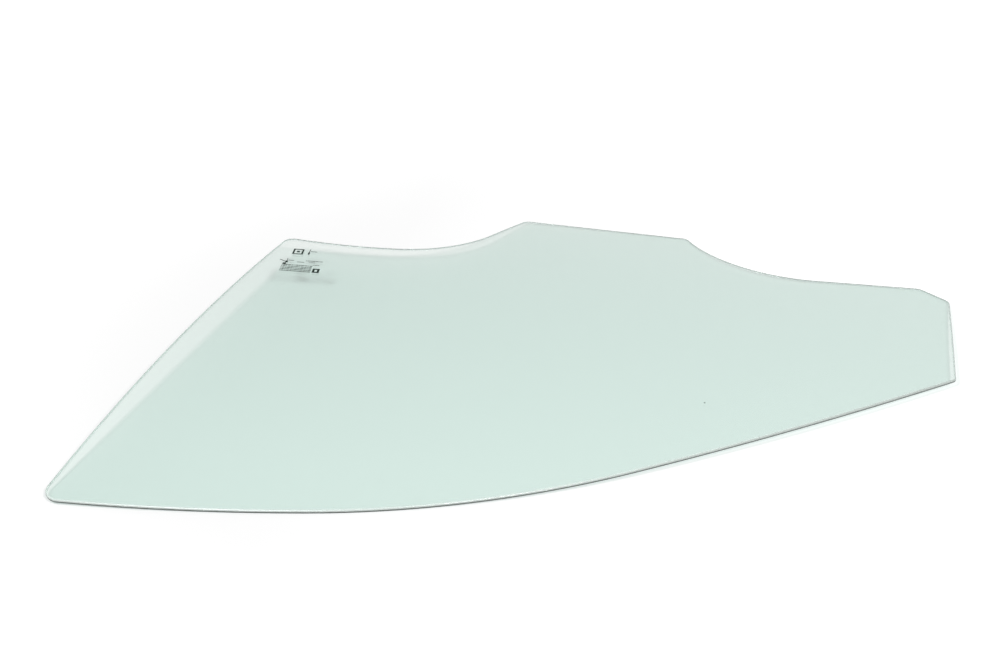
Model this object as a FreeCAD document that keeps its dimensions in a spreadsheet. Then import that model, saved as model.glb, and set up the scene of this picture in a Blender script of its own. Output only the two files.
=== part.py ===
import FreeCAD, Part
import math
import os
import Sketcher
from FreeCAD import Placement, Rotation, Vector

# Glass of a front door window, one curved and tempered pane, lying on the floor with its outer face up.
# The pane's own frame: X runs forwards along the lower edge, from the middle of the lift tab. Y runs across the
# pane, from the roof side to the tab. Z is the outward side of the arch, and the crown of the outer face is the
# X axis. At the end the pane is tipped from that frame until it rests on three points of its edge.
# All lengths are in millimetres.

SIZES = (
    # The blank: flat glass bent to a cylinder about a line along X.
    ("glass_thickness", 3.85, "thickness of the pane"),
    ("arch_radius", 1850.0, "radius of the outer face across the pane"),
    # Lift tab, the straight stretch of the lower edge that the regulator's clamps hold.
    ("tab_width", 185.0, "length of the tab's straight edge"),
    ("tab_reach", 300.0, "from the crown line to the tab's edge"),
    # Rear edge, straight, which slides in the channel of the centre pillar.
    ("rear_top_back", 422.0, "rear top corner, behind the middle of the tab"),
    ("rear_top_reach", 303.0, "rear top corner, from the crown line to the roof side"),
    ("rear_foot_back", 335.0, "rear foot corner, behind the middle of the tab"),
    ("rear_foot_rise", 128.2, "rear foot corner, above the line of the tab's edge"),
    # Roof edge, three tangent arcs from the rear top corner to the mirror corner.
    ("roof_rear_radius", 1800.0, "arc over the rear half of the door"),
    ("roof_middle_radius", 816.0, "arc where the roof turns down"),
    ("roof_front_radius", 2350.0, "arc along the windscreen pillar"),
    ("roof_rear_join_back", 189.0, "joint of the first two arcs, behind the middle of the tab"),
    ("roof_front_join_ahead", 83.0, "joint of the last two arcs, ahead of the middle of the tab"),
    # Short front edge and the bevel at its foot.
    ("front_top_ahead", 370.5, "front top corner, ahead of the middle of the tab"),
    ("front_top_reach", 29.1, "front top corner, from the crown line to the sill side"),
    ("front_foot_ahead", 374.5, "foot of the front edge, ahead of the middle of the tab"),
    ("front_foot_rise", 101.0, "foot of the front edge, above the line of the tab's edge"),
    ("bevel_run", 29.5, "lower end of the bevel, behind the foot of the front edge"),
    ("bevel_rise", 74.5, "lower end of the bevel, above the line of the tab's edge"),
    # Front scoop of the lower edge: a straight run, then an arc up to the tab.
    ("front_scoop_ahead", 236.1, "start of the front scoop's arc, ahead of the middle of the tab"),
    ("front_scoop_radius", 142.0, "arc of the front scoop"),
    # Rear scoop of the lower edge: a straight flank below the tab, an arc, then a gentle arc to the foot.
    ("rear_flank_run", 30.8, "flank's length along X"),
    ("rear_flank_drop", 59.5, "flank's length along Y"),
    ("rear_scoop_radius", 125.0, "arc of the rear scoop"),
    ("rear_sill_radius", 450.0, "gentle arc from the rear scoop to the rear foot corner"),
    # Corners of the outline.
    ("rear_top_corner", 14.0, "corner radius"),
    ("front_top_corner", 5.5, "corner radius"),
    ("front_foot_corner", 9.0, "corner radius"),
    ("bevel_corner", 13.0, "corner radius"),
    ("tab_front_corner", 8.0, "corner radius"),
    ("tab_rear_corner", 11.0, "corner radius"),
    ("rear_foot_corner", 12.0, "corner radius"),
    # The edge is ground round all the way.
    ("edge_flat", 0.65, "width of the flat left along the middle of the ground edge"),
)

# The blank and the frame that trims it reach past the outline by this share of its size.
BLANK_MARGIN = 1.15
# Vertices of a sketch's geometry, and its origin.
START, END, CENTRE = range(1, 4)
ORIGIN = (-1, 1)
UP = Vector(0, 0, 1)
# The edge is tried against the floor at points this far apart, in at most this many tips.
FLOOR_STEP = 8.0
MOST_TIPS = 300


def make_sheet(doc):
    """Writes every size into a cell of its own, under its name."""
    sheet = doc.addObject("Spreadsheet::Sheet", "sizes")
    for row, (name, value, meaning) in enumerate(SIZES, start=1):
        sheet.set(f"A{row}", meaning)
        sheet.set(f"B{row}", str(value))
        sheet.setAlias(f"B{row}", name)
    doc.recompute()
    return sheet


def attach(body, name, role):
    """A new sketch on one of the body's own origin planes."""
    sketch = body.newObject("Sketcher::SketchObject", name)
    plane = next(p for p in body.Origin.OriginFeatures if p.Role == role)
    sketch.AttachmentSupport = (plane, "")
    sketch.MapMode = "FlatFace"
    return sketch


def hold(sketch, name, expression, *parts):
    """Adds a dimension whose value follows an expression in the named sizes."""
    index = sketch.addConstraint(Sketcher.Constraint(*parts))
    sketch.renameConstraint(index, name)
    sketch.setExpression(f"Constraints.{name}", expression)


def arc_between(first, last, radius, turn):
    """Circular arc from first to last, with its centre on the left of travel for turn 1, or on the right for -1."""
    chord = last - first
    across = Vector(-chord.y, chord.x, 0).normalize() * turn
    half = chord.Length / 2
    centre = (first + last) / 2 + across * math.sqrt(max(radius**2 - half**2, 0))
    circle = Part.Circle(centre, Vector(0, 0, 1), radius)
    start, end = (first, last) if turn > 0 else (last, first)
    return Part.ArcOfCircle(circle, circle.parameter(start), circle.parameter(end))


def vertex_at(sketch, geometry, point):
    """Which end of a piece of geometry lies at point."""
    return min((START, END), key=lambda end: sketch.getPoint(geometry, end).distanceToPoint(point))


def corner_points(size):
    """The outline's sharp corners by name, anticlockwise from the rear top one, seen from the outer side."""
    tab = size("tab_reach")
    return {
        "rear_top": Vector(-size("rear_top_back"), -size("rear_top_reach"), 0),
        "front_top": Vector(size("front_top_ahead"), size("front_top_reach"), 0),
        "front_foot": Vector(size("front_foot_ahead"), tab - size("front_foot_rise"), 0),
        "bevel": Vector(size("front_foot_ahead") - size("bevel_run"), tab - size("bevel_rise"), 0),
        "tab_front": Vector(size("tab_width") / 2, tab, 0),
        "tab_rear": Vector(-size("tab_width") / 2, tab, 0),
        "rear_foot": Vector(-size("rear_foot_back"), tab - size("rear_foot_rise"), 0),
    }


def widest(size, *names):
    """The largest of some sizes with the blank's margin, as an expression and as its value now."""
    listed = "; ".join(f"sizes.{name}" for name in names)
    return f"{BLANK_MARGIN} * max({listed})", BLANK_MARGIN * max(size(name) for name in names)


def draw_section(sketch, size):
    """Section of the bent blank: two arcs about one centre below the crown, with a straight cut at each side."""
    outer = size("arch_radius")
    inner = outer - size("glass_thickness")
    half_width, reach = widest(size, "rear_top_reach", "tab_reach")
    centre = Vector(0, -outer, 0)
    lean = math.asin(reach / outer)
    ends = []
    for radius in (outer, inner):
        circle = Part.Circle(centre, Vector(0, 0, 1), radius)
        sketch.addGeometry(Part.ArcOfCircle(circle, math.pi / 2 - lean, math.pi / 2 + lean))
        ends.append([centre + Vector(side * math.sin(lean), math.cos(lean), 0) * radius for side in (1, -1)])
    for side in (0, 1):
        sketch.addGeometry(Part.LineSegment(ends[0][side], ends[1][side]))
    for line, end in ((2, START), (3, END)):
        sketch.addConstraint(Sketcher.Constraint("Coincident", line, START, 0, end))
        sketch.addConstraint(Sketcher.Constraint("Coincident", line, END, 1, end))
        sketch.addConstraint(Sketcher.Constraint("PointOnObject", 0, CENTRE, line))
    sketch.addConstraint(Sketcher.Constraint("Coincident", 0, CENTRE, 1, CENTRE))
    sketch.addConstraint(Sketcher.Constraint("Symmetric", 0, START, 0, END, -2))
    hold(sketch, "centre_depth", "sizes.arch_radius", "DistanceY", 0, CENTRE, *ORIGIN, outer)
    hold(sketch, "outer_radius", "sizes.arch_radius", "Radius", 0, outer)
    hold(sketch, "inner_radius", "sizes.arch_radius - sizes.glass_thickness", "Radius", 1, inner)
    hold(sketch, "half_width", half_width, "DistanceX", *ORIGIN, 0, START, reach)


def draw_outline(sketch, size):
    """The pane's outline with sharp corners, inside a frame, so that a cut of it trims the blank."""
    corner = corner_points(size)

    # Starting places of the joints between tangent pieces, which the constraints then settle.
    chord = arc_between(corner["rear_top"], corner["front_top"], size("roof_rear_radius"), 1)

    def on_chord(x):
        height = math.sqrt(chord.Radius**2 - (x - chord.Center.x) ** 2)
        return Vector(x, chord.Center.y - height, 0)

    rear_join = on_chord(-size("roof_rear_join_back"))
    front_join = on_chord(size("roof_front_join_ahead"))
    scoop_join = Vector(size("front_scoop_ahead"), corner["bevel"].y, 0)
    flank = Vector(-size("rear_flank_run"), -size("rear_flank_drop"), 0)
    flank_end = corner["tab_rear"] + flank
    scoop_centre = flank_end + Vector(flank.y, -flank.x, 0).normalize() * size("rear_scoop_radius")
    scoop_bottom = scoop_centre - Vector(0, size("rear_scoop_radius"), 0)

    # Pieces in order of travel: name, first point, last point, and for an arc its radius and turn.
    pieces = (
        ("roof_rear", corner["rear_top"], rear_join, "roof_rear_radius", 1),
        ("roof_middle", rear_join, front_join, "roof_middle_radius", 1),
        ("roof_front", front_join, corner["front_top"], "roof_front_radius", 1),
        ("front_edge", corner["front_top"], corner["front_foot"], None, 0),
        ("bevel", corner["front_foot"], corner["bevel"], None, 0),
        ("front_run", corner["bevel"], scoop_join, None, 0),
        ("front_scoop", scoop_join, corner["tab_front"], "front_scoop_radius", -1),
        ("tab", corner["tab_front"], corner["tab_rear"], None, 0),
        ("rear_flank", corner["tab_rear"], flank_end, None, 0),
        ("rear_scoop", flank_end, scoop_bottom, "rear_scoop_radius", -1),
        ("rear_sill", scoop_bottom, corner["rear_foot"], "rear_sill_radius", -1),
        ("rear_edge", corner["rear_foot"], corner["rear_top"], None, 0),
    )
    smooth_starts = {"roof_middle", "roof_front", "front_scoop", "rear_scoop", "rear_sill"}
    starts = {}
    ends = []
    for index, (name, first, last, radius, turn) in enumerate(pieces):
        shape = arc_between(first, last, size(radius), turn) if radius else Part.LineSegment(first, last)
        sketch.addGeometry(shape)
        start = vertex_at(sketch, index, first)
        starts[name] = (index, start)
        ends.append((index, END if start == START else START))
    for index, (name, first, last, radius, turn) in enumerate(pieces):
        kind = "Tangent" if name in smooth_starts else "Coincident"
        sketch.addConstraint(Sketcher.Constraint(kind, *ends[index - 1], *starts[name]))
    for index, (name, first, last, radius, turn) in enumerate(pieces):
        if radius:
            hold(sketch, f"{name}_r", f"sizes.{radius}", "Radius", index, size(radius))

    def place(name, kind, expression, value):
        """Holds the start of a named piece at a signed distance from the origin, along X or Y."""
        ends = (*ORIGIN, *starts[name]) if value > 0 else (*starts[name], *ORIGIN)
        hold(sketch, f"{name}_{kind[-1]}", expression, kind, *ends, abs(value))

    bevel_ahead = "sizes.front_foot_ahead - sizes.bevel_run"
    places = (
        ("roof_rear", "rear_top", "sizes.rear_top_back", "sizes.rear_top_reach"),
        ("front_edge", "front_top", "sizes.front_top_ahead", "sizes.front_top_reach"),
        ("bevel", "front_foot", "sizes.front_foot_ahead", "sizes.tab_reach - sizes.front_foot_rise"),
        ("front_run", "bevel", bevel_ahead, "sizes.tab_reach - sizes.bevel_rise"),
        ("tab", "tab_front", "sizes.tab_width / 2", "sizes.tab_reach"),
        ("rear_flank", "tab_rear", "sizes.tab_width / 2", "sizes.tab_reach"),
        ("rear_edge", "rear_foot", "sizes.rear_foot_back", "sizes.tab_reach - sizes.rear_foot_rise"),
    )
    for name, point, x_expression, y_expression in places:
        place(name, "DistanceX", x_expression, corner[point].x)
        place(name, "DistanceY", y_expression, corner[point].y)
    place("roof_middle", "DistanceX", "sizes.roof_rear_join_back", rear_join.x)
    place("roof_front", "DistanceX", "sizes.roof_front_join_ahead", front_join.x)
    place("front_scoop", "DistanceX", "sizes.front_scoop_ahead", scoop_join.x)
    place("rear_scoop", "DistanceX", "sizes.tab_width / 2 + sizes.rear_flank_run", flank_end.x)
    place("rear_scoop", "DistanceY", "sizes.tab_reach - sizes.rear_flank_drop", flank_end.y)
    draw_frame(sketch, size, len(pieces))


def draw_frame(sketch, size, first):
    """A rectangle round the outline, wider than the blank."""
    half_length, x = widest(size, "rear_top_back", "front_foot_ahead")
    half_width, y = widest(size, "rear_top_reach", "tab_reach")
    x *= BLANK_MARGIN
    y *= BLANK_MARGIN
    points = [Vector(-x, -y, 0), Vector(x, -y, 0), Vector(x, y, 0), Vector(-x, y, 0)]
    for index, point in enumerate(points):
        sketch.addGeometry(Part.LineSegment(point, points[(index + 1) % 4]))
    for index in range(4):
        after = first + (index + 1) % 4
        sketch.addConstraint(Sketcher.Constraint("Coincident", first + index, END, after, START))
        level = "Horizontal" if index % 2 == 0 else "Vertical"
        sketch.addConstraint(Sketcher.Constraint(level, first + index))
    sketch.addConstraint(Sketcher.Constraint("Symmetric", first, START, first + 1, END, *ORIGIN))
    hold(sketch, "frame_x", f"{BLANK_MARGIN} * {half_length}", "DistanceX", *ORIGIN, first + 1, START, x)
    hold(sketch, "frame_y", f"{BLANK_MARGIN} * {half_width}", "DistanceY", first + 1, START, *ORIGIN, y)


def upright(edge):
    """True for an edge that runs straight through the thickness of the pane."""
    ends = [vertex.Point for vertex in edge.Vertexes]
    return len(ends) == 2 and math.hypot(ends[0].x - ends[1].x, ends[0].y - ends[1].y) < 1e-6


def add_fillet(doc, body, name, base, edges, expression):
    """Rounds the edges of the base feature whose numbers are given."""
    fillet = body.newObject("PartDesign::Fillet", name)
    fillet.Base = (base, [f"Edge{number}" for number in edges])
    fillet.setExpression("Radius", expression)
    doc.recompute()
    return fillet


def build_glass(doc, size):
    """The pane in its own frame: a bent blank, cut to the outline, with round corners and a ground edge."""
    body = doc.addObject("PartDesign::Body", "window_glass")
    body.Label = "window_glass"

    section = attach(body, "blank_section", "YZ_Plane")
    draw_section(section, size)
    blank = body.newObject("PartDesign::Pad", "bent_blank")
    blank.Profile = section
    blank.Midplane = True
    blank.setExpression("Length", "2 * " + widest(size, "rear_top_back", "front_foot_ahead")[0])
    doc.recompute()

    outline = attach(body, "outline", "XY_Plane")
    draw_outline(outline, size)
    trimmed = body.newObject("PartDesign::Pocket", "cut_to_outline")
    trimmed.Profile = outline
    trimmed.Type = "ThroughAll"
    trimmed.Midplane = True
    doc.recompute()
    if trimmed.Shape.Volume > 0.95 * blank.Shape.Volume:
        raise RuntimeError("the cut to the outline removed nothing")

    feature = trimmed
    for name, place in corner_points(size).items():
        edges = enumerate(feature.Shape.Edges, start=1)
        standing = [(number, edge) for number, edge in edges if upright(edge)]

        def off_corner(item):
            point = item[1].Vertexes[0].Point
            return math.hypot(point.x - place.x, point.y - place.y)

        number = min(standing, key=off_corner)[0]
        feature = add_fillet(doc, body, f"{name}_round", feature, [number], f"sizes.{name}_corner")

    rim = [number for number, edge in enumerate(feature.Shape.Edges, start=1) if not upright(edge)]
    edge_round = "(sizes.glass_thickness - sizes.edge_flat) / 2"
    ground = add_fillet(doc, body, "ground_edge", feature, rim, edge_round)
    body.Tip = ground
    doc.recompute()
    return body


def tipping_angle(point, through, axis):
    """How far the pane turns about a level axis until a point on the falling side meets the floor."""
    reach = (point - through).dot(axis.cross(UP).normalize())
    return math.atan2(point.z - through.z, reach) if reach > 1.0 else math.pi


def side_beyond(points, support):
    """The side of the support triangle that the centre of mass lies beyond, or None if it is inside."""
    centre = points[-1]
    for index in range(3):
        first, second, third = (support[(index + step) % 3] for step in range(3))
        outward = (points[second] - points[first]).cross(UP)
        offset = points[first]
        if (centre - offset).dot(outward) * (points[third] - offset).dot(outward) < 0:
            return [first, second]
    return None


def resting_placement(shape):
    """How the pane lies on the floor: it stands on its lowest point and tips by its own weight on to two more.

    The first tip is about a level line through the lowest point, and the next about the line through two points.
    While the centre of mass is outside the three points, the pane tips on about the side that it lies beyond.
    """
    points = [point for edge in shape.Edges for point in edge.discretize(Distance=FLOOR_STEP)]
    points.append(shape.Solids[0].CenterOfMass)
    placement = Placement()
    lowest = min(range(len(points) - 1), key=lambda index: points[index].z)
    lean = points[-1] - points[lowest]
    axis = Vector(-lean.y, lean.x, 0)
    support = [lowest]
    for attempt in range(MOST_TIPS):
        through = points[support[0]]
        if len(support) == 2:
            axis = points[support[1]] - through
        axis = Vector(axis.x, axis.y, 0).normalize()
        if (points[-1] - through).dot(axis.cross(UP)) < 0:
            axis = -axis
        angles = [tipping_angle(point, through, axis) for point in points[:-1]]
        landed = min(range(len(angles)), key=lambda index: angles[index])
        turn = Placement(Vector(), Rotation(axis, math.degrees(angles[landed])), through)
        points = [turn.multVec(point) for point in points]
        placement = turn.multiply(placement)
        support.append(landed)
        if len(support) == 3:
            support = side_beyond(points, support)
            if support is None:
                return placement
    raise RuntimeError("the pane doesn't come to rest")


def lay_down(body):
    """Puts the pane at rest on the floor, with the origin below the middle of its box."""
    body.Placement = resting_placement(body.Shape)
    box = body.Shape.optimalBoundingBox(False)
    centre = box.Center
    body.Placement = Placement(Vector(-centre.x, -centre.y, -box.ZMin), Rotation()).multiply(body.Placement)


def check(doc, parts):
    """Stops if any object has failed or any part is empty or broken."""
    for thing in doc.Objects:
        if "Invalid" in thing.State or "Error" in thing.State:
            raise RuntimeError(f"{thing.Name} failed: {thing.State}")
    for part in parts:
        if part.Shape.isNull() or not part.Shape.isValid() or len(part.Shape.Solids) != 1:
            raise RuntimeError(f"{part.Label} is not one sound solid")


def main():
    doc = FreeCAD.newDocument("window_glass")
    sheet = make_sheet(doc)

    def size(name):
        return float(sheet.get(name))

    glass = build_glass(doc, size)
    lay_down(glass)
    doc.recompute()
    check(doc, [glass])
    os.makedirs("parts", exist_ok=True)
    glass.Shape.exportStep(f"parts/{glass.Label}.step")
    box = glass.Shape.optimalBoundingBox(False)
    lengths = (box.XLength, box.YLength, box.ZLength)
    print("box", [round(length, 2) for length in lengths], "volume", round(glass.Shape.Volume))


main()
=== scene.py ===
import math

import bpy
import numpy as np
from mathutils import Matrix, Vector


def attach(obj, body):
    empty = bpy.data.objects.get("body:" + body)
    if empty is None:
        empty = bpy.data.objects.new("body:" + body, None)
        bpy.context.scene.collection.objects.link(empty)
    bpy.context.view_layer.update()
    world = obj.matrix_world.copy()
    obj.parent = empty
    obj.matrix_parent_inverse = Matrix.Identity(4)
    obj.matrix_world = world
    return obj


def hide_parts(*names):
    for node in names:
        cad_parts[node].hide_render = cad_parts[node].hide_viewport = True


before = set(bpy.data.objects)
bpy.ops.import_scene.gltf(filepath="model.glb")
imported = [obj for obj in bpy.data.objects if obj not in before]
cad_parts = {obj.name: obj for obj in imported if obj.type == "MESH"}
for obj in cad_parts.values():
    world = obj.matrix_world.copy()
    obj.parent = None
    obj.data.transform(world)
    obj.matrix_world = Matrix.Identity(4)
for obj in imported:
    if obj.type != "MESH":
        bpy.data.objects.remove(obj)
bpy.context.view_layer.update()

# Looks of a front door window glass that lies on a white floor with its outer, convex face up.
# Lengths are in metres. The pane is drawn in its own frame, where X runs forwards along the lower
# edge from the middle of the lift tab, Y runs from the roof side to the tab, and the crown of the
# outer face is the X axis.

# The glass: its thickness, the radius of its outer face, and the round of its ground edge.
THICKNESS = 0.00385
ARCH_RADIUS = 1.850
MIDDLE_RADIUS = ARCH_RADIUS - THICKNESS / 2
INNER_RADIUS = ARCH_RADIUS - THICKNESS
EDGE_ROUND = 0.0016

# Sharp corners of the outline, anticlockwise seen from the outer side.
REAR_TOP = (-0.4220, -0.3030)
FRONT_TOP = (0.3705, 0.0291)
FRONT_FOOT = (0.3745, 0.1990)
BEVEL_END = (0.3450, 0.2255)
TAB_FRONT = (0.0925, 0.3000)
TAB_REAR = (-0.0925, 0.3000)
FLANK_END = (-0.1233, 0.2405)
REAR_FOOT = (-0.3350, 0.1718)

# Roof edge: the radius of each of its three arcs, how far forwards each one ends, and the values
# between which the sine of its first heading is looked for.
ROOF_RADII = (1.800, 0.816, 2.350)
ROOF_ENDS = (-0.189, 0.083, FRONT_TOP[0])
ROOF_SINES = (-0.2, 0.3)
# Lower edge: where the front scoop's arc starts and its radius, the headings between which its
# straight run is looked for, and the radii of the rear scoop's two arcs.
SCOOP_START = 0.2361
SCOOP_RADIUS = 0.142
SCOOP_HEADINGS = (math.radians(170), math.radians(200))
REAR_SCOOP_RADIUS = 0.125
SILL_RADIUS = 0.450
# Rounds of the seven corners, in order from the rear top corner.
CORNER_ROUNDS = (0.014, 0.0055, 0.009, 0.013, 0.008, 0.011, 0.012)

# Steps of the two searches: halvings of a span, and steps of Newton's rule at a corner.
HALVINGS = 60
NEWTON_STEPS = 8

# The pane lies on three points of its edge, turned this far about level axes along X and Y.
REST_TURN = (math.radians(1.3471), math.radians(2.0114))
REST_MATRIX = np.array(Matrix.Rotation(math.hypot(*REST_TURN), 3, Vector((*REST_TURN, 0))))

# Grid of the pane: points round the outline with their spacing on corners and sides, rows from
# the edge to the middle of a face with the power that crowds them at the edge, and rows of one
# round of the edge and of both.
ROUND_POINTS = 640
HALF_ROUND = ROUND_POINTS // 2
CORNER_SPACING = 0.0009
SIDE_SPACING = 0.0036
FACE_ROWS = 24
ROW_CROWDING = 1.4
EDGE_ROWS = 7
RIM_ROWS = 2 * EDGE_ROWS
# Middle line of a face: its rear end, and the step from there to its front end.
SPINE_REAR = (-0.31, -0.060)
SPINE_STEP = (0.64, 0.175)

# Painted shade on the ground edge, which darkens its colour where the lamps leave it dark: shares
# by place from the outer face's side to the inner one's, how much less the front and rear edges
# get, how much of its own shares the lower edge loses, and how much it gets all over instead.
EDGE_SHADE_PLACES = (0.0, 0.36, 0.50, 0.70, 0.80, 1.0)
EDGE_SHADE_SHARES = (0.0, 0.03, 1.0, 1.0, 0.05, 0.0)
RUNS_LESS_SHADED = 0.8
FOOT_SHADE_LOST = 0.6
FOOT_SHADE_ALL_OVER = 0.4

# The mark printed on the outer face: where its plan starts from, its turn, and how deep and how
# proud the print is. The plan has X along the mark's lines and Y across them.
PRINT_PLACE = (-0.300, 0.110)
PRINT_TURN = math.radians(5)
PRINT_SUNK = 0.00002
PRINT_PROUD = 0.00003
# Dashes: the shortest pitch, how much longer the longest is, the gap after each, the step from
# one to the next in the spread of lengths, and the mean pitch that says how many to draw.
DASH_PITCH = 0.0016
DASH_SPREAD = 0.0024
DASH_GAP = 0.0006
DASH_STEP = 0.618
DASH_COUNTED = 0.0022
# The block of dashed rows: both ends, width, place of the first row, pitch and number of rows.
BLOCK_ENDS = (-0.0222, 0.0112)
BLOCK_WIDTH = 0.0016
BLOCK_FIRST = -0.0042
BLOCK_PITCH = 0.0034
BLOCK_ROWS = 5
# Single dashed lines: both ends, place across and width.
DASHED_LINES = (
    (0.0106, 0.0201, -0.0014, 0.0011),
    (0.0015, 0.0195, 0.0078, 0.0012),
    (0.0052, 0.0147, 0.0044, 0.0010),
)
# Strokes: middle along and across, length, width and turn.
STROKES = (
    (0.0009, 0.0302, 0.0007, 0.0130, -0.03),
    (0.0009, 0.0262, 0.0018, 0.0056, 0),
    (0.0056, 0.0312, 0.0070, 0.0010, 0),
    (-0.0226, 0.0050, 0.0090, 0.0010, -0.57),
    (-0.0185, 0.0068, 0.0006, 0.0090, 0),
    (-0.0185, 0.0030, 0.0026, 0.0042, 0),
    (-0.0201, -0.0014, 0.0034, 0.0036, 0),
    (-0.0142, 0.0066, 0.0060, 0.0009, 0),
    (-0.0038, 0.0038, 0.0074, 0.0010, 0),
    (-0.0110, 0.0292, 0.0030, 0.0040, 0),
)
# Frames: lowest and highest corner, and the width of the stroke.
FRAMES = (
    ((-0.0167, 0.0224), (-0.0053, 0.0358), 0.0019),
    ((0.0120, -0.0188), (0.0194, -0.0092), 0.0024),
)

# A crumb of dust on the outer face: its place, width, height and number of sides.
SPECK_PLACE = (0.1355, -0.0635)
SPECK_WIDTH = 0.0018
SPECK_HEIGHT = 0.0002
SPECK_SIDES = 8

# Glass: its refractive index. Then for the face and for the edge, the clear share, and the tint
# of lamp light and floor light that passes straight through.
GLASS_IOR = 1.52
FACE_CLEAR = 1.0
FACE_PASSING = (0.790, 0.870, 0.845)
EDGE_CLEAR = 0.4
EDGE_PASSING = (0.62, 0.68, 0.66)
# Tint of what shows through the face, the edge's own pale colour, and the near black of the
# painted shade on the edge.
FACE_TINT = (0.895, 0.953, 0.926)
PALE_EDGE = (0.74, 0.82, 0.785)
PAINTED_EDGE_SHADE = (0.035, 0.043, 0.039)
# Darkest and palest colour of the print and of the dust.
PRINT_COLOURS = ((0.012, 0.022, 0.017), (0.035, 0.052, 0.044))
DUST_COLOURS = ((0.26, 0.32, 0.29), (0.36, 0.42, 0.39))

# The floor: its half width, its colour, and the ramps that top it up to what the camera and the
# glass see. Each ramp has the axis it runs along, the places where it starts and ends, and its
# values there. The last one runs on the distance from the origin.
FLOOR_REACH = 5.0
FLOOR_COLOUR = (0.9, 0.9, 0.9)
CAMERA_RAMPS = (("Y", -0.30, 0.35, 0.07, 0.175), ("X", -0.20, 0.30, 0.0, 0.16))
GLASS_RAMPS = (("Y", -0.20, 0.30, 0.070, 0.030), ("X", -0.35, 0.35, -0.009, 0.030))
FAR_RAMP = (0.35, 1.2, 0.0, 0.7)

# Light from all round, and the lamps: name, place, size, and the share that each one gives of
# the light of a white surface.
WORLD_LIGHT = 0.17
LAMPS = (
    ("left_lamp", (-0.46, -1.36, 1.42), 0.34, 0.43),
    ("right_lamp", (1.30, -2.13, 2.20), 0.40, 0.37),
)

# The camera: its place, the point it looks at, and its focal length and sensor in millimetres.
CAMERA_PLACE = (0.19937, -1.38986, 0.8500)
CAMERA_AIM = (-0.05723, 0.05985, 0.0)
CAMERA_LENS = 60.0
CAMERA_SENSOR = 36.0


# ---------------------------------------------------------------------------------------- outline
# A run is a stretch of steady bend: its start, its heading there, its length and its bend, which
# is one over the radius, above zero where the run turns left.

def along(run, distance):
    """Points and headings on a run: the chord from its start is distance * sinc(half the turn)."""
    start, heading, _, bend = run
    distance = np.asarray(distance, float)
    half_turn = bend * distance / 2
    chord = distance * np.sinc(half_turn / np.pi)
    direction = np.stack([np.cos(heading + half_turn), np.sin(heading + half_turn)], -1)
    return np.asarray(start) + chord[..., None] * direction, heading + 2 * half_turn


def straight(start, end):
    """A run with no bend between two points."""
    step = np.subtract(end, start)
    return np.asarray(start, float), math.atan2(step[1], step[0]), float(np.hypot(*step)), 0.0


def right_arc(start, heading, end, radius):
    """A run that bends right to a point: half its turn is the arcsine of half the chord over the
    radius."""
    chord = float(np.hypot(*np.subtract(end, start)))
    half_turn = math.asin(min(chord / (2 * radius), 1.0))
    return np.asarray(start, float), heading, 2 * half_turn * radius, -1 / radius


def root(function, low, high):
    """Where a rising or falling function crosses zero between two values, by halving the span."""
    rising = function(high) > function(low)
    for _ in range(HALVINGS):
        middle = (low + high) / 2
        if (function(middle) > 0) == rising:
            high = middle
        else:
            low = middle
    return (low + high) / 2


def roof_runs():
    """Three tangent arcs. On each, the sine of the heading grows by the forward step over the
    radius, and the first heading is the one that ends the last arc at the front top corner."""
    steps = np.diff((REAR_TOP[0], *ROOF_ENDS)) / ROOF_RADII

    def sines(first):
        return first + np.concatenate([[0.0], np.cumsum(steps)])

    def miss(first):
        cosines = np.sqrt(1 - sines(first) ** 2)
        return REAR_TOP[1] + float(np.sum(ROOF_RADII * -np.diff(cosines))) - FRONT_TOP[1]

    headings = np.arcsin(sines(root(miss, *ROOF_SINES)))
    runs = []
    start = np.array(REAR_TOP)
    for radius, first, last in zip(ROOF_RADII, headings[:-1], headings[1:]):
        runs.append((start, first, radius * (last - first), 1 / radius))
        start = along(runs[-1], runs[-1][2])[0]
    return runs


def front_scoop_runs():
    """A straight run from the bevel and a tangent arc to the tab. The heading is the one at which
    the arc's centre, its radius to the right of the run's end, is its radius from the tab."""
    def joint_at(heading):
        length = (SCOOP_START - BEVEL_END[0]) / math.cos(heading)
        return np.add(BEVEL_END, length * np.array([math.cos(heading), math.sin(heading)]))

    def miss(heading):
        aside = SCOOP_RADIUS * np.array([math.sin(heading), -math.cos(heading)])
        return math.dist(joint_at(heading) + aside, TAB_FRONT) - SCOOP_RADIUS

    heading = root(miss, *SCOOP_HEADINGS)
    joint = joint_at(heading)
    return [straight(BEVEL_END, joint), right_arc(joint, heading, TAB_FRONT, SCOOP_RADIUS)]


def rear_scoop_runs():
    """The tab's straight flank, a tangent arc, and a gentler one whose centre is as far from the
    first centre as the radii differ, and its own radius from the rear foot."""
    flank = straight(TAB_REAR, FLANK_END)
    aside = REAR_SCOOP_RADIUS * np.array([math.sin(flank[1]), -math.cos(flank[1])])
    inner = np.add(FLANK_END, aside)
    apart = SILL_RADIUS - REAR_SCOOP_RADIUS
    gap = np.subtract(REAR_FOOT, inner)
    reach = float(np.hypot(*gap))
    share = (apart**2 - SILL_RADIUS**2 + reach**2) / (2 * reach)
    height = math.sqrt(apart**2 - share**2)
    unit = gap / reach
    outer = inner + share * unit + height * np.array([unit[1], -unit[0]])
    joint = inner + REAR_SCOOP_RADIUS * (inner - outer) / apart
    scoop = right_arc(FLANK_END, flank[1], joint, REAR_SCOOP_RADIUS)
    heading = flank[1] - scoop[2] / REAR_SCOOP_RADIUS
    return [flank, scoop, right_arc(joint, heading, REAR_FOOT, SILL_RADIUS)]


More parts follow.
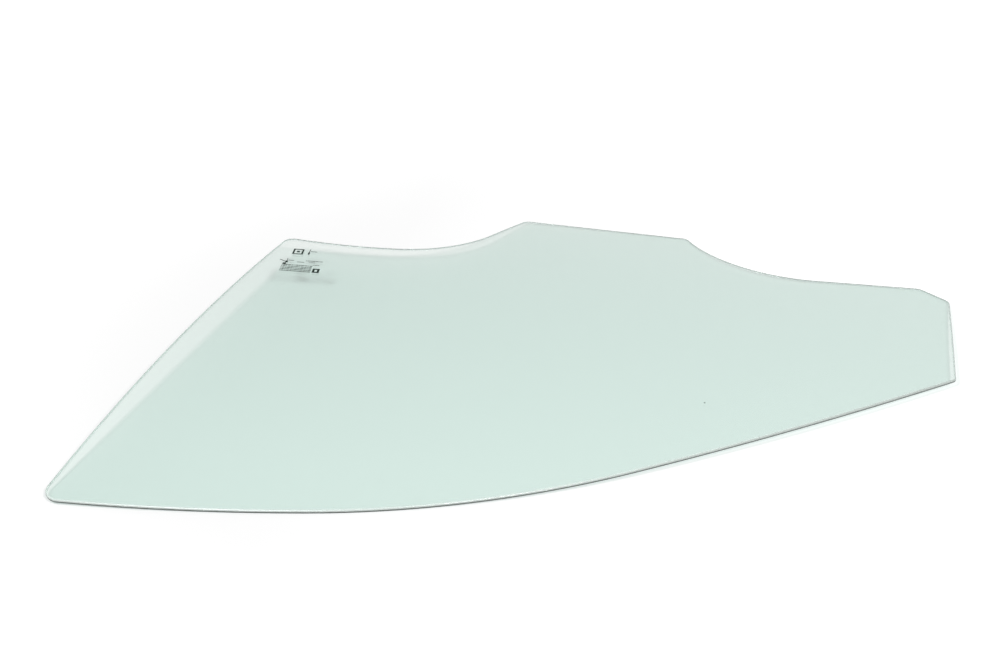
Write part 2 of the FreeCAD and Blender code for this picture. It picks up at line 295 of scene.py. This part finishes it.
def round_corner(before, after, radius):
    """Trims two runs and puts an arc between them. The arc's centre is its radius to the left of
    both runs, which Newton's rule finds from the distances at which the two are cut."""
    cut = np.array([before[2], 0.0])
    for _ in range(NEWTON_STEPS):
        centres, tangents = [], []
        for run, distance in zip((before, after), cut):
            point, heading = along(run, distance)
            centres.append(point + radius * np.array([-np.sin(heading), np.cos(heading)]))
            slide = np.array([np.cos(heading), np.sin(heading)])
            tangents.append((1 - radius * run[3]) * slide)
        slopes = np.stack([tangents[0], -tangents[1]], -1)
        cut = cut - np.linalg.solve(slopes, centres[0] - centres[1])
    start, first = along(before, cut[0])
    rest, last = along(after, cut[1])
    turn = (last - first) % (2 * math.pi)
    arc = (start, float(first), radius * turn, 1 / radius)
    trimmed = (before[0], before[1], float(cut[0]), before[3])
    return trimmed, arc, (rest, float(last), after[2] - float(cut[1]), after[3])


def outline_runs():
    """The outline as runs in order of travel, from the middle of the rear edge back to it, with
    the numbers of the runs that round its corners."""
    middle = np.add(REAR_FOOT, REAR_TOP) / 2
    sides = [
        [straight(middle, REAR_TOP)],
        roof_runs(),
        [straight(FRONT_TOP, FRONT_FOOT)],
        [straight(FRONT_FOOT, BEVEL_END)],
        front_scoop_runs(),
        [straight(TAB_FRONT, TAB_REAR)],
        rear_scoop_runs(),
        [straight(REAR_FOOT, middle)],
    ]
    runs = sides[0]
    corners = []
    for side, radius in zip(sides[1:], CORNER_ROUNDS):
        runs[-1], arc, side[0] = round_corner(runs[-1], side[0], radius)
        corners.append(len(runs))
        runs += [arc, *side]
    return runs, corners


def outline_points():
    """Points and headings round the outline, closer on the corners. Half of them are on the roof
    side of the middles of the rear and front edges, and half on the tab's side."""
    runs, corners = outline_runs()
    lengths = np.array([run[2] for run in runs])
    rounded = np.isin(np.arange(len(runs)), corners)
    spacing = np.where(rounded, CORNER_SPACING, SIDE_SPACING)
    weight = np.concatenate([[0.0], np.cumsum(lengths / spacing)])
    front = corners[1] + 1
    halfway = (weight[front] + weight[front + 1]) / 2
    places = np.concatenate([
        np.linspace(0, halfway, HALF_ROUND, endpoint=False),
        np.linspace(halfway, weight[-1], HALF_ROUND, endpoint=False),
    ])
    which = np.clip(np.searchsorted(weight, places, side="right") - 1, 0, len(runs) - 1)
    distance = (places - weight[which]) * spacing[which]
    points = np.empty((ROUND_POINTS, 2))
    headings = np.empty(ROUND_POINTS)
    for index, run in enumerate(runs):
        here = which == index
        points[here], headings[here] = along(run, distance[here])
    return points, headings


# ------------------------------------------------------------------------------------------- pane

def arched(x, lean, radius):
    """Points of the bent glass: x along the arch's axis, at an angle from the crown and a distance
    from the axis."""
    x, lean = np.broadcast_arrays(x, lean)
    return np.stack([x, radius * np.sin(lean), radius * np.cos(lean) - ARCH_RADIUS], -1)


def arch_normals(lean):
    """Normals of the bent glass at an angle from the crown."""
    return np.stack([np.zeros_like(lean), np.sin(lean), np.cos(lean)], -1)


def rim_surface(plan, heading):
    """Points and normals of the ground edge, which stands square to the glass: a quarter round, a
    narrow flat and a quarter round. A point is the middle of the glass, plus the round's radius
    times cosine less one outwards, plus the same times sine, and half the flat, upwards."""
    lean = np.arcsin(plan[:, 1] / MIDDLE_RADIUS)
    up = arch_normals(lean)
    climb = -np.sin(heading) * np.tan(lean)
    travel = np.stack([np.cos(heading), np.sin(heading), climb], -1)
    travel /= np.linalg.norm(travel, axis=-1, keepdims=True)
    out = np.cross(travel, up)
    quarter = np.linspace(math.pi / 2, 0, EDGE_ROWS)
    turns = np.concatenate([quarter, -quarter[::-1]])[:, None, None]
    half_flat = np.repeat([1, -1], EDGE_ROWS)[:, None, None] * (THICKNESS / 2 - EDGE_ROUND)
    sideways = EDGE_ROUND * (np.cos(turns) - 1)
    raised = EDGE_ROUND * np.sin(turns) + half_flat
    points = arched(plan[:, 0], lean, MIDDLE_RADIUS) + sideways * out + raised * up
    return points, np.cos(turns) * out + np.sin(turns) * up


def face_surface(ring, radius):
    """Points and upward normals of a face, ruled on its cylinder from the line through its middle
    out to a ring of the edge, with rows closer near the ring."""
    column = np.arange(ROUND_POINTS)
    turn = np.pi * np.minimum(column, ROUND_POINTS - column) / HALF_ROUND
    share = (1 - np.cos(turn)) / 2
    spine_x, spine_y = (start + step * share for start, step in zip(SPINE_REAR, SPINE_STEP))
    inward = (np.arange(FACE_ROWS, 0, -1) / FACE_ROWS)[:, None] ** ROW_CROWDING
    ring_lean = np.arctan2(ring[:, 1], ring[:, 2] + ARCH_RADIUS)
    x = ring[:, 0] + inward * (spine_x - ring[:, 0])
    lean = ring_lean + inward * (spine_y / MIDDLE_RADIUS - ring_lean)
    return arched(x, lean, radius), arch_normals(lean)


def edge_painted_shade(heading):
    """How much painted shade darkens the edge, from 0 to 1: the share of its row times 1 less the
    front and rear edges' lightening times the square of the outward x, less the lower edge's lost
    share times y, and then plus the lower edge's all-over share times y, where y is the outward y
    on the lower edge and 0 elsewhere."""
    across = np.interp(np.linspace(0, 1, RIM_ROWS), EDGE_SHADE_PLACES, EDGE_SHADE_SHARES)
    foot = np.clip(-np.cos(heading), 0, 1)
    own = np.clip(1 - RUNS_LESS_SHADED * np.sin(heading) ** 2 - FOOT_SHADE_LOST * foot, 0, 1)
    return np.clip(across[:, None] * own + FOOT_SHADE_ALL_OVER * foot, 0, 1)


def pane_surface():
    """Rows of points, normals and painted shade of the edge, from the middle of the outer face,
    over the ground edge, to the middle of the inner face."""
    plan, heading = outline_points()
    rim, rim_normals = rim_surface(plan, heading)
    outer, outer_normals = face_surface(rim[0], ARCH_RADIUS)
    inner, inner_normals = face_surface(rim[-1], INNER_RADIUS)
    points = np.concatenate([outer, rim, inner[::-1]])
    normals = np.concatenate([outer_normals, rim_normals, -inner_normals[::-1]])
    painted_shade = np.zeros(points.shape[:2])
    painted_shade[FACE_ROWS:FACE_ROWS + RIM_ROWS] = edge_painted_shade(heading)
    return points, normals, painted_shade


def at_rest(points, shift):
    """Points of the pane's own frame as they lie on the floor."""
    return points @ REST_MATRIX.T + shift


def new_piece(name, points, faces, normals=None, slots=None):
    """A mesh piece from arrays of points and faces. With normals it is shaded smooth by them, and
    slots says which of its materials each face has."""
    mesh = bpy.data.meshes.new(name)
    mesh.from_pydata(points.tolist(), [], faces.tolist())
    if slots is not None:
        mesh.polygons.foreach_set("material_index", slots.astype(np.int32))
    if normals is not None:
        mesh.shade_smooth()
        mesh.normals_split_custom_set_from_vertices(normals.tolist())
    piece = bpy.data.objects.new(name, mesh)
    bpy.context.scene.collection.objects.link(piece)
    return piece


def build_pane():
    """The pane as one closed skin, and the shift that sets it down with its box about the origin.
    The first and last rows are folded on to the middle line of their face, so that a point there
    is shared by the two columns that meet in it."""
    points, normals, painted_shade = pane_surface()
    rows, columns = painted_shade.shape
    inside = (rows - 2) * columns
    column = np.arange(columns)
    folded = np.minimum(column, columns - column)
    ids = np.empty((rows, columns), int)
    ids[0] = folded
    ids[1:-1] = HALF_ROUND + 1 + np.arange(inside).reshape(rows - 2, columns)
    ids[-1] = HALF_ROUND + 1 + inside + folded

    def listed(grid):
        ends = slice(0, HALF_ROUND + 1)
        return np.concatenate([grid[0, ends], *grid[1:-1], grid[-1, ends]])

    after = np.roll(ids, -1, axis=1)
    faces = np.stack([ids[:-1], ids[1:], after[1:], after[:-1]], -1).reshape(-1, 4)
    row = np.repeat(np.arange(rows - 1), columns)
    on_edge = (row >= FACE_ROWS) & (row < FACE_ROWS + RIM_ROWS - 1)
    turned = at_rest(listed(points), 0)
    low, high = turned.min(0), turned.max(0)
    shift = -np.array([(low[0] + high[0]) / 2, (low[1] + high[1]) / 2, low[2]])
    piece = new_piece("pane", turned + shift, faces, at_rest(listed(normals), 0), on_edge)
    # The painted shade of the edge, kept on the points for its material.
    shade_attribute = piece.data.attributes.new("painted_shade", "FLOAT", "POINT")
    shade_attribute.data.foreach_set("value", listed(painted_shade).astype(np.float32))
    return piece, shift


# ------------------------------------------------------------------------------------------ print

def dashes(start, end, across, width):
    """A line of short dashes as bars. The pitch of dash k is the shortest one plus the spread
    times the part after the point of k times DASH_STEP."""
    count = int((end - start) / DASH_COUNTED)
    pitch = DASH_PITCH + DASH_SPREAD * ((np.arange(count) * DASH_STEP) % 1)
    left = start + np.concatenate([[0.0], np.cumsum(pitch)[:-1]])
    long = pitch - DASH_GAP
    kept = left + long < end
    bars = np.zeros((int(kept.sum()), 5))
    bars[:, 0] = (left + long / 2)[kept]
    bars[:, 1] = across
    bars[:, 2] = long[kept]
    bars[:, 3] = width
    return bars


def frame_bars(low, high, stroke):
    """The outline of an upright rectangle as four bars."""
    middle = np.add(low, high) / 2
    wide, tall = np.subtract(high, low)
    return np.array([
        (middle[0], low[1] + stroke / 2, wide, stroke, 0),
        (middle[0], high[1] - stroke / 2, wide, stroke, 0),
        (low[0] + stroke / 2, middle[1], stroke, tall - 2 * stroke, 0),
        (high[0] - stroke / 2, middle[1], stroke, tall - 2 * stroke, 0),
    ])


def print_bars():
    """The plain mark near the rear foot, as bars: middle along and across, length, width, turn."""
    rows = BLOCK_FIRST - BLOCK_PITCH * np.arange(BLOCK_ROWS)
    block = [dashes(*BLOCK_ENDS, across, BLOCK_WIDTH) for across in rows]
    lines = [dashes(*line) for line in DASHED_LINES]
    frames = [frame_bars(*corners) for corners in FRAMES]
    return np.concatenate([*block, *lines, np.array(STROKES), *frames])


def turned_pair(along_x, along_y, cosine, sine):
    """Two coordinates after a turn with this cosine and sine."""
    return cosine * along_x - sine * along_y, sine * along_x + cosine * along_y


def build_print(shift):
    """The bars as thin closed slabs on the outer face. A bar's corners are its middle plus or
    minus half its length and half its width, turned, and its two sides are a little inside and a
    little outside the face."""
    bars = print_bars()
    signs = np.array([(-1, -1), (1, -1), (1, 1), (-1, 1)]) / 2
    size = signs * bars[:, None, 2:4]
    turn = bars[:, 4:5]
    corner = turned_pair(size[..., 0], size[..., 1], np.cos(turn), np.sin(turn))
    plan = (bars[:, 0:1] + corner[0], bars[:, 1:2] + corner[1])
    moved = turned_pair(*plan, math.cos(PRINT_TURN), math.sin(PRINT_TURN))
    x, y = (place + step for place, step in zip(PRINT_PLACE, moved))
    rises = (-PRINT_SUNK, PRINT_PROUD)
    layers = [arched(x, y / ARCH_RADIUS, ARCH_RADIUS + rise) for rise in rises]
    points = np.stack(layers, 1).reshape(-1, 3)
    slab = [(0, 3, 2, 1), (4, 5, 6, 7), (0, 1, 5, 4), (1, 2, 6, 5), (2, 3, 7, 6), (3, 0, 4, 7)]
    firsts = 8 * np.arange(len(bars))[:, None, None]
    faces = (np.array(slab) + firsts).reshape(-1, 4)
    return new_piece("fired_print", at_rest(points, shift), faces)


def build_speck(shift):
    """The crumb as a low prism: corner k is half the width from its middle, at k of its equal
    turns. Its foot is a little inside the face."""
    here = np.arange(SPECK_SIDES)
    turns = here * math.pi / (SPECK_SIDES / 2)
    x = SPECK_PLACE[0] + SPECK_WIDTH / 2 * np.cos(turns)
    y = SPECK_PLACE[1] + SPECK_WIDTH / 2 * np.sin(turns)
    rises = (-PRINT_SUNK, SPECK_HEIGHT)
    rings = [arched(x, y / ARCH_RADIUS, ARCH_RADIUS + rise) for rise in rises]
    after = np.roll(here, -1)
    sides = np.stack([here, after, after + SPECK_SIDES, here + SPECK_SIDES], -1)
    cap = np.array([(0, 1, 2, 3), (0, 3, 4, 7), (4, 5, 6, 7)])
    faces = np.concatenate([sides, cap + SPECK_SIDES, cap[:, ::-1]])
    return new_piece("dust_speck", at_rest(np.concatenate(rings), shift), faces)


# -------------------------------------------------------------------------------------- materials

def material(name):
    """A new material with an empty node tree and its output."""
    made = bpy.data.materials.new(name)
    made.use_nodes = True
    made.node_tree.nodes.clear()
    return made, made.node_tree, made.node_tree.nodes.new("ShaderNodeOutputMaterial")


def mottle_group():
    """Node group: a fine mottle on the piece's own coordinates, spread between the values Low and
    High."""
    group = bpy.data.node_groups.new("fine_mottle", "ShaderNodeTree")
    for socket, value in (("Scale", 100.0), ("Low", 0.0), ("High", 1.0)):
        made = group.interface.new_socket(socket, in_out="INPUT", socket_type="NodeSocketFloat")
        made.default_value = value
    group.interface.new_socket("Value", in_out="OUTPUT", socket_type="NodeSocketFloat")
    nodes, links = group.nodes, group.links
    given = nodes.new("NodeGroupInput")
    place = nodes.new("ShaderNodeTexCoord")
    noise = nodes.new("ShaderNodeTexNoise")
    noise.inputs["Detail"].default_value = 3.0
    spread = nodes.new("ShaderNodeMapRange")
    spread.inputs["From Min"].default_value = 0.3
    spread.inputs["From Max"].default_value = 0.7
    result = nodes.new("NodeGroupOutput")
    links.new(place.outputs["Object"], noise.inputs["Vector"])
    links.new(given.outputs["Scale"], noise.inputs["Scale"])
    links.new(noise.outputs["Fac"], spread.inputs["Value"])
    links.new(given.outputs["Low"], spread.inputs["To Min"])
    links.new(given.outputs["High"], spread.inputs["To Max"])
    links.new(spread.outputs[0], result.inputs["Value"])


def add_mottle(tree, scale, low=0.0, high=1.0):
    """A socket of the fine mottle, with its own scale and its own two values."""
    node = tree.nodes.new("ShaderNodeGroup")
    node.node_tree = bpy.data.node_groups["fine_mottle"]
    for socket, value in (("Scale", scale), ("Low", low), ("High", high)):
        node.inputs[socket].default_value = value
    return node.outputs["Value"]


def add_bump(tree, body, scale, depth):
    """Lets a mottle tilt a shader's normal as a relief of this depth would."""
    bump = tree.nodes.new("ShaderNodeBump")
    bump.inputs["Distance"].default_value = depth
    tree.links.new(add_mottle(tree, scale), bump.inputs["Height"])
    tree.links.new(bump.outputs[0], body.inputs["Normal"])


def add_blend(tree, body, share, first, second):
    """Gives a shader a colour that goes from the first to the second as the share goes to 1."""
    blend = tree.nodes.new("ShaderNodeMix")
    blend.data_type = "RGBA"
    blend.inputs[6].default_value = (*first, 1)
    blend.inputs[7].default_value = (*second, 1)
    tree.links.new(share, blend.inputs["Factor"])
    tree.links.new(blend.outputs[2], body.inputs["Base Color"])


def glass_material(name, clearness, passing):
    """Tinted glass. It bends what is seen through it, and lets a share of the light of lamps and
    of the floor straight through, greener. Its colour and finish are left to its caller."""
    made, tree, out = material(name)
    nodes, links = tree.nodes, tree.links
    body = nodes.new("ShaderNodeBsdfPrincipled")
    body.inputs["IOR"].default_value = GLASS_IOR
    body.inputs["Transmission Weight"].default_value = clearness
    clear = nodes.new("ShaderNodeBsdfTransparent")
    clear.inputs["Color"].default_value = (*passing, 1)
    rays = nodes.new("ShaderNodeLightPath")
    shader = body.outputs[0]
    for kind in ("Is Diffuse Ray", "Is Shadow Ray"):
        mix = nodes.new("ShaderNodeMixShader")
        links.new(rays.outputs[kind], mix.inputs["Fac"])
        links.new(shader, mix.inputs[1])
        links.new(clear.outputs[0], mix.inputs[2])
        shader = mix.outputs[0]
    links.new(shader, out.inputs["Surface"])
    return made, tree, body


def face_material():
    """Polished face: clear, smooth and pale green, with the faint long waves of toughened
    glass."""
    made, tree, body = glass_material("tinted_glass", FACE_CLEAR, FACE_PASSING)
    body.inputs["Base Color"].default_value = (*FACE_TINT, 1)
    body.inputs["Roughness"].default_value = 0.0
    add_bump(tree, body, scale=7.0, depth=0.00003)
    return made


def edge_material():
    """Ground edge: satin, part clear and part milky, darkened by painted shade in a band along its
    middle, with the fine grain of the wheel."""
    made, tree, body = glass_material("ground_glass", EDGE_CLEAR, EDGE_PASSING)
    shade_attribute = tree.nodes.new("ShaderNodeAttribute")
    shade_attribute.attribute_name = "painted_shade"
    # Painted shade: the edge goes from its pale colour to near black where the shade share is
    # high.
    add_blend(tree, body, shade_attribute.outputs["Fac"], PALE_EDGE, PAINTED_EDGE_SHADE)
    tree.links.new(add_mottle(tree, scale=900.0, low=0.16, high=0.28), body.inputs["Roughness"])
    add_bump(tree, body, scale=1400.0, depth=0.00004)
    return made


def mottled_material(name, colours, grain, roughness, specular):
    """An opaque finish that is mottled in colour by the scale of its grain, and in roughness by a
    scale and its lowest and highest value."""
    made, tree, out = material(name)
    body = tree.nodes.new("ShaderNodeBsdfPrincipled")
    body.inputs["Specular IOR Level"].default_value = specular
    add_blend(tree, body, add_mottle(tree, grain), *colours)
    tree.links.new(add_mottle(tree, *roughness), body.inputs["Roughness"])
    tree.links.new(body.outputs[0], out.inputs["Surface"])
    return made


def print_material():
    """Fired ceramic print: near black, a little green, faintly mottled."""
    return mottled_material(
        "fired_print", PRINT_COLOURS, grain=1200.0, roughness=(700.0, 0.45, 0.65), specular=0.05)


def dust_material():
    """Dry pale dust, mottled."""
    return mottled_material(
        "dust", DUST_COLOURS, grain=1500.0, roughness=(1100.0, 0.8, 0.95), specular=0.5)


def joined(tree, operation, first, *others):
    """A socket with several values joined by an operation, one after another."""
    for other in others:
        node = tree.nodes.new("ShaderNodeMath")
        node.operation = operation
        tree.links.new(first, node.inputs[0])
        tree.links.new(other, node.inputs[1])
        first = node.outputs[0]
    return first


def add_ramp(tree, source, shape, start, end, low, high):
    """A socket that goes from low to high as the source goes from start to end."""
    ramp = tree.nodes.new("ShaderNodeMapRange")
    ramp.interpolation_type = shape
    sockets = ("From Min", "From Max", "To Min", "To Max")
    for socket, value in zip(sockets, (start, end, low, high)):
        ramp.inputs[socket].default_value = value
    tree.links.new(source, ramp.inputs["Value"])
    return ramp.outputs[0]


def floor_material():
    """White floor that takes the pane's shadow. Glass and gloss see it a little brighter than it
    is lit, and the camera sees it topped up to white. Both sums have ramps along X and Y, painted
    light that makes it brighter to the right, and for the camera towards the back and for the
    glass towards the front. The camera's has one more on the distance from the origin, which takes
    the far parts to plain white."""
    made, tree, out = material("white_floor")
    nodes, links = tree.nodes, tree.links
    paint = nodes.new("ShaderNodeBsdfDiffuse")
    paint.inputs["Color"].default_value = (*FLOOR_COLOUR, 1)
    place = nodes.new("ShaderNodeTexCoord")
    distance = nodes.new("ShaderNodeVectorMath")
    distance.operation = "LENGTH"
    apart = nodes.new("ShaderNodeSeparateXYZ")
    for node in (distance, apart):
        links.new(place.outputs["Object"], node.inputs[0])

    def level(ramps):
        return [add_ramp(tree, apart.outputs[axis], "LINEAR", *ends) for axis, *ends in ramps]

    far = add_ramp(tree, distance.outputs["Value"], "SMOOTHSTEP", *FAR_RAMP)
    for_camera = joined(tree, "ADD", *level(CAMERA_RAMPS), far)
    for_glass = joined(tree, "ADD", *level(GLASS_RAMPS))
    rays = nodes.new("ShaderNodeLightPath").outputs
    by_glass = joined(tree, "ADD", rays["Is Glossy Ray"], rays["Is Transmission Ray"])
    shown = joined(
        tree, "ADD",
        joined(tree, "MULTIPLY", rays["Is Camera Ray"], for_camera),
        joined(tree, "MULTIPLY", by_glass, for_glass))
    glow = nodes.new("ShaderNodeEmission")
    links.new(shown, glow.inputs["Strength"])
    both = nodes.new("ShaderNodeAddShader")
    links.new(paint.outputs[0], both.inputs[0])
    links.new(glow.outputs[0], both.inputs[1])
    links.new(both.outputs[0], out.inputs["Surface"])
    return made


# ------------------------------------------------------------------------------------------ stage

def build_floor():
    """White floor, level with the pane's three points of support."""
    corners = FLOOR_REACH * np.array([(-1, -1, 0), (1, -1, 0), (1, 1, 0), (-1, 1, 0)])
    floor = new_piece("floor", corners, np.array([[0, 1, 2, 3]]))
    floor.data.materials.append(floor_material())


def build_world():
    """Soft light from all round. The camera, gloss and glass see it white."""
    world = bpy.data.worlds.new("studio")
    bpy.context.scene.world = world
    world.use_nodes = True
    tree = world.node_tree
    nodes, links = tree.nodes, tree.links
    nodes.clear()
    out = nodes.new("ShaderNodeOutputWorld")
    rays = nodes.new("ShaderNodeLightPath").outputs
    kinds = ("Is Camera Ray", "Is Glossy Ray", "Is Transmission Ray")
    seen = joined(tree, "ADD", *(rays[kind] for kind in kinds))
    mix = nodes.new("ShaderNodeMixShader")
    links.new(seen, mix.inputs["Fac"])
    for slot, strength in ((1, WORLD_LIGHT), (2, 1.0)):
        light = nodes.new("ShaderNodeBackground")
        light.inputs["Color"].default_value = (1, 1, 1, 1)
        light.inputs["Strength"].default_value = strength
        links.new(light.outputs[0], mix.inputs[slot])
    links.new(mix.outputs[0], out.inputs["Surface"])


def put_in_place(name, data, place, target):
    """A lamp or camera at its place, turned towards a target."""
    holder = bpy.data.objects.new(name, data)
    holder.location = place
    towards = Vector(target) - Vector(place)
    holder.rotation_euler = towards.to_track_quat("-Z", "Y").to_euler()
    bpy.context.scene.collection.objects.link(holder)
    return holder


def add_lamp(name, place, size, share):
    """Square soft lamp that faces the middle of the floor. Its light stays the same at every
    distance, as that of a large lamp far off. Its power is the share of a white surface's light
    times pi squared, over the sine of its height as seen from the middle of the floor."""
    lamp = bpy.data.lights.new(name, "AREA")
    lamp.size = size
    lamp.energy = share * math.pi**2 * math.hypot(*place) / place[2]
    lamp.use_nodes = True
    nodes, links = lamp.node_tree.nodes, lamp.node_tree.links
    nodes.clear()
    out = nodes.new("ShaderNodeOutputLight")
    glow = nodes.new("ShaderNodeEmission")
    steady = nodes.new("ShaderNodeLightFalloff")
    steady.inputs["Strength"].default_value = 1.0
    links.new(steady.outputs["Constant"], glow.inputs["Strength"])
    links.new(glow.outputs[0], out.inputs["Surface"])
    put_in_place(name, lamp, place, (0, 0, 0))


def add_camera():
    """Camera at the photograph's place, looking down at about 30 degrees."""
    data = bpy.data.cameras.new("camera")
    data.lens = CAMERA_LENS
    data.sensor_width = CAMERA_SENSOR
    bpy.context.scene.camera = put_in_place("camera", data, CAMERA_PLACE, CAMERA_AIM)


def main():
    """The pane with what lies on it, then the stage."""
    mottle_group()
    pane, shift = build_pane()
    pane.data.materials.append(face_material())
    pane.data.materials.append(edge_material())
    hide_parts("window_glass")
    mark = build_print(shift)
    mark.data.materials.append(print_material())
    speck = build_speck(shift)
    speck.data.materials.append(dust_material())
    for piece in (pane, mark, speck):
        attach(piece, "root")
    build_floor()
    build_world()
    for lamp in LAMPS:
        add_lamp(*lamp)
    add_camera()
    bpy.context.scene.view_settings.view_transform = "Standard"


main()
